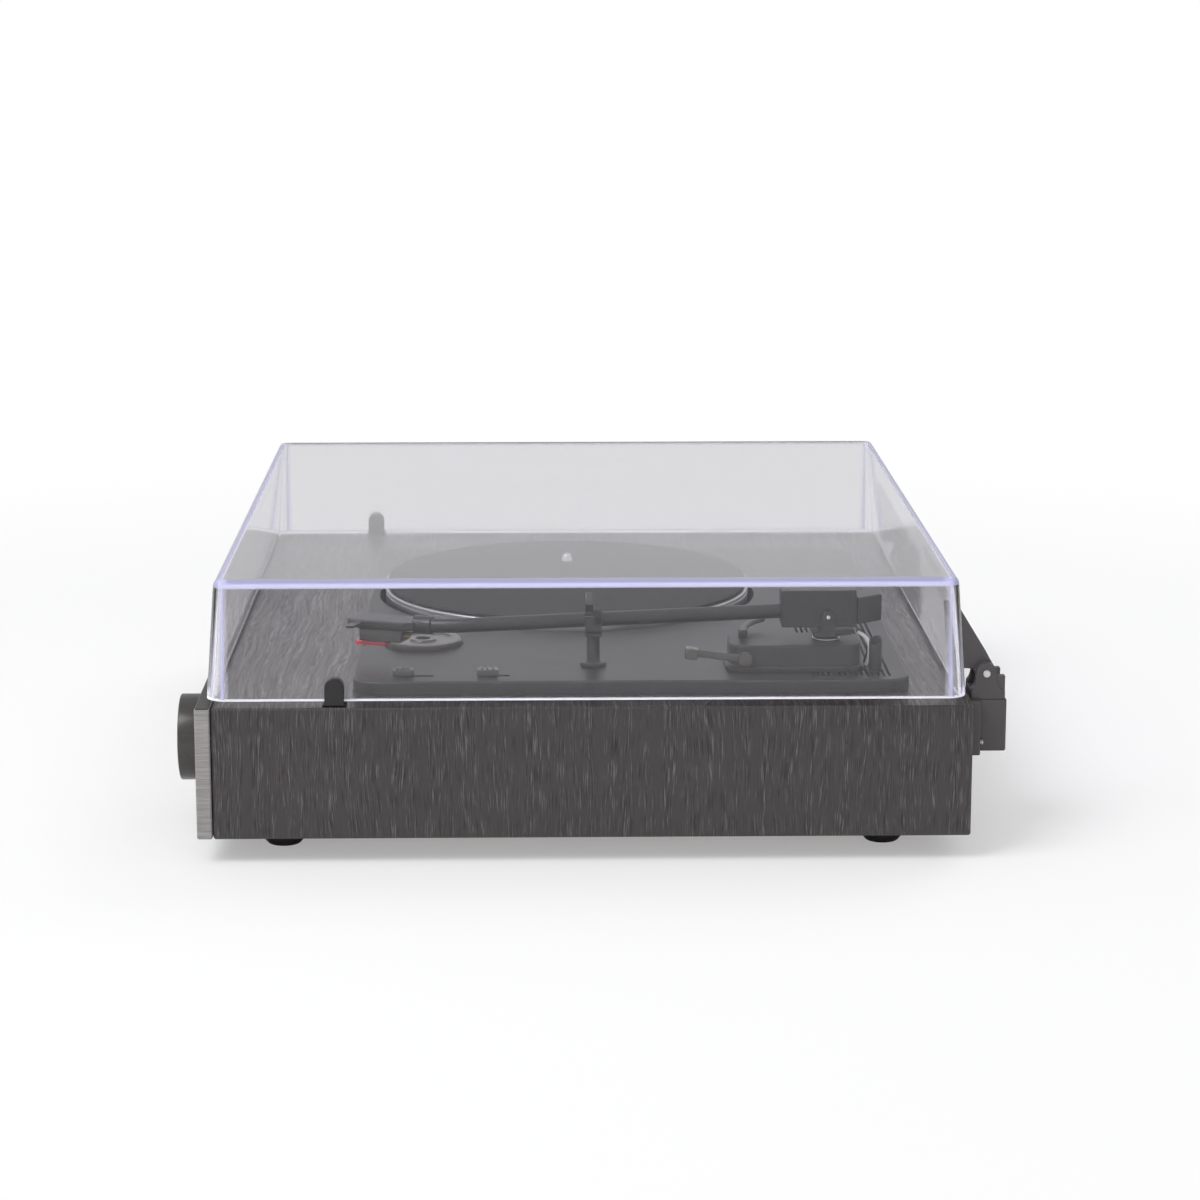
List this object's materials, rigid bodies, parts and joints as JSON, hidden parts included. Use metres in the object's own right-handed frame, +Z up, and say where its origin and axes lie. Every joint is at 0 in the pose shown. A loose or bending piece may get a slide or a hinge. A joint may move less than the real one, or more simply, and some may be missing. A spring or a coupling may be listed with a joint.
{
  "type": "turntable",
  "caption": "Belt-driven turntable: wooden plinth, brushed front panel with a volume knob, small platter and tonearm under a hinged clear dust cover.",
  "frame": {"origin": "on the table, below the middle of the outline", "axes": "+X to the side of the tonearm, -Y to the front panel, +Z up"},
  "size_m": [0.42, 0.399, 0.134],
  "materials": {
    "black_ash_vinyl": "black ash wood-grain vinyl on fibreboard, satin",
    "hardboard": "raw brown hardboard",
    "brushed_panel": "fine horizontal brushing, anodised silver grey",
    "satin_black": "satin black moulded plastic",
    "rubber": "matt black moulded rubber",
    "deck_plastic": "fine-textured charcoal moulded plastic",
    "arm_plastic": "smooth charcoal moulded plastic",
    "hinge_plastic": "satin charcoal moulded plastic",
    "clear_acrylic": "clear moulded acrylic with faintly violet edges",
    "cast_aluminium": "turned die-cast aluminium",
    "felt": "pressed black felt",
    "polished_steel": "polished steel",
    "zinc_steel": "zinc-plated steel",
    "brass": "turned brass",
    "white_lead": "off-white flexible insulation",
    "stylus_red": "red moulded plastic",
    "lamp_red": "red diffusing lens, unlit",
    "circuit_board": "green lacquered laminate"
  },
  "bodies": {
    "plinth": {"plinth": "black_ash_vinyl", "base_panel": "hardboard", "front_panel": "brushed_panel", "foot_front_left": "rubber", "foot_front_right": "rubber", "foot_rear_left": "rubber", "foot_rear_right": "rubber", "volume_control": "zinc_steel", "power_lamp": "lamp_red", "terminal_plate": "satin_black", "power_inlet": "satin_black", "line_jack_left": "zinc_steel", "line_jack_right": "zinc_steel", "speaker_jack_left": "zinc_steel", "speaker_jack_right": "zinc_steel", "amplifier_board": "circuit_board", "heat_sink": "cast_aluminium", "deck_plate": "deck_plastic", "adapter_45": "satin_black", "spindle_bearing": "brass", "drive_belt": "rubber", "motor": "zinc_steel", "tonearm_base": "deck_plastic", "swivel_ring": "polished_steel", "arm_rest": "deck_plastic", "hollow_post": "deck_plastic", "lead_left": "arm_plastic", "lead_middle": "arm_plastic", "lead_right": "white_lead", "hinge_socket_left": "hinge_plastic", "hinge_socket_right": "hinge_plastic", "hinge_pin_left": "zinc_steel", "hinge_pin_right": "zinc_steel", "hinge_screw_left": "zinc_steel", "hinge_screw_right": "zinc_steel"},
    "volume_knob": {"volume_knob": "satin_black", "volume_shaft": "polished_steel"},
    "speed_switch": {"speed_switch": "satin_black"},
    "auto_stop_switch": {"auto_stop_switch": "satin_black"},
    "platter": {"platter": "cast_aluminium", "slip_mat": "felt", "spindle": "polished_steel"},
    "motor_pulley": {"motor_pulley": "brass"},
    "tonearm_swivel": {"gimbal_yoke": "arm_plastic", "pivot_pin": "polished_steel"},
    "tonearm": {"arm_body": "arm_plastic", "tonearm_tube": "arm_plastic", "headshell": "arm_plastic", "cartridge": "satin_black", "stylus": "stylus_red", "counterweight": "arm_plastic"},
    "arm_clip": {"arm_clip": "satin_black"},
    "cue_lift": {"cue_lift": "arm_plastic"},
    "cue_lever": {"cue_lever": "satin_black"},
    "dust_cover": {"dust_cover": "clear_acrylic", "cover_bumper_left": "rubber", "cover_bumper_right": "rubber", "hinge_leaf_left": "hinge_plastic", "hinge_leaf_right": "hinge_plastic"}
  },
  "joints": [
    {"name": "dust_cover_hinge", "type": "hinge", "parent": "plinth", "child": "dust_cover", "pos_m": [0, 0.1895, 0.0797], "axis": [-1, 0, 0], "range_deg": [0, 75]},
    {"name": "volume_turn", "type": "hinge", "parent": "plinth", "child": "volume_knob", "pos_m": [0.138, -0.1855, 0.0435], "axis": [0, 1, 0], "range_deg": [0, 300]},
    {"name": "platter_spin", "type": "hinge", "parent": "plinth", "child": "platter", "pos_m": [-0.022, -0.01, 0.082], "axis": [0, 0, -1], "continuous": true},
    {"name": "motor_spin", "type": "hinge", "parent": "plinth", "child": "motor_pulley", "pos_m": [-0.08753, -0.05589, 0.077], "axis": [0, 0, -1], "continuous": true},
    {"name": "tonearm_swing", "type": "hinge", "parent": "plinth", "child": "tonearm_swivel", "pos_m": [0.154, 0.113, 0.0975], "axis": [0, 0, -1], "range_deg": [0, 42]},
    {"name": "tonearm_lift", "type": "hinge", "parent": "tonearm_swivel", "child": "tonearm", "pos_m": [0.154, 0.113, 0.1076], "axis": [-1, 0, 0], "range_deg": [0, 6.5]},
    {"name": "arm_clip_turn", "type": "hinge", "parent": "plinth", "child": "arm_clip", "pos_m": [0.1602, 0.001, 0.11014], "axis": [0, -1, 0], "range_deg": [0, 150]},
    {"name": "cue_lever_turn", "type": "hinge", "parent": "plinth", "child": "cue_lever", "pos_m": [0.1711, 0.073, 0.0891], "axis": [-1, 0, 0], "range_deg": [0, 60]},
    {"name": "cue_lift_slide", "type": "slide", "parent": "plinth", "child": "cue_lift", "axis": [0, 0, 1], "range_m": [0, 0.0041]},
    {"name": "speed_select", "type": "slide", "parent": "plinth", "child": "speed_switch", "axis": [0, 1, 0], "range_m": [0, 0.012]},
    {"name": "auto_stop_select", "type": "slide", "parent": "plinth", "child": "auto_stop_switch", "axis": [0, 1, 0], "range_m": [0, 0.008]}
  ],
  "couplings": [
    {"joint": "motor_spin", "follows": "platter_spin", "ratio": 14.675},
    {"joint": "cue_lift_slide", "follows": "cue_lever_turn", "m_per_rad": 0.00382}
  ]
}
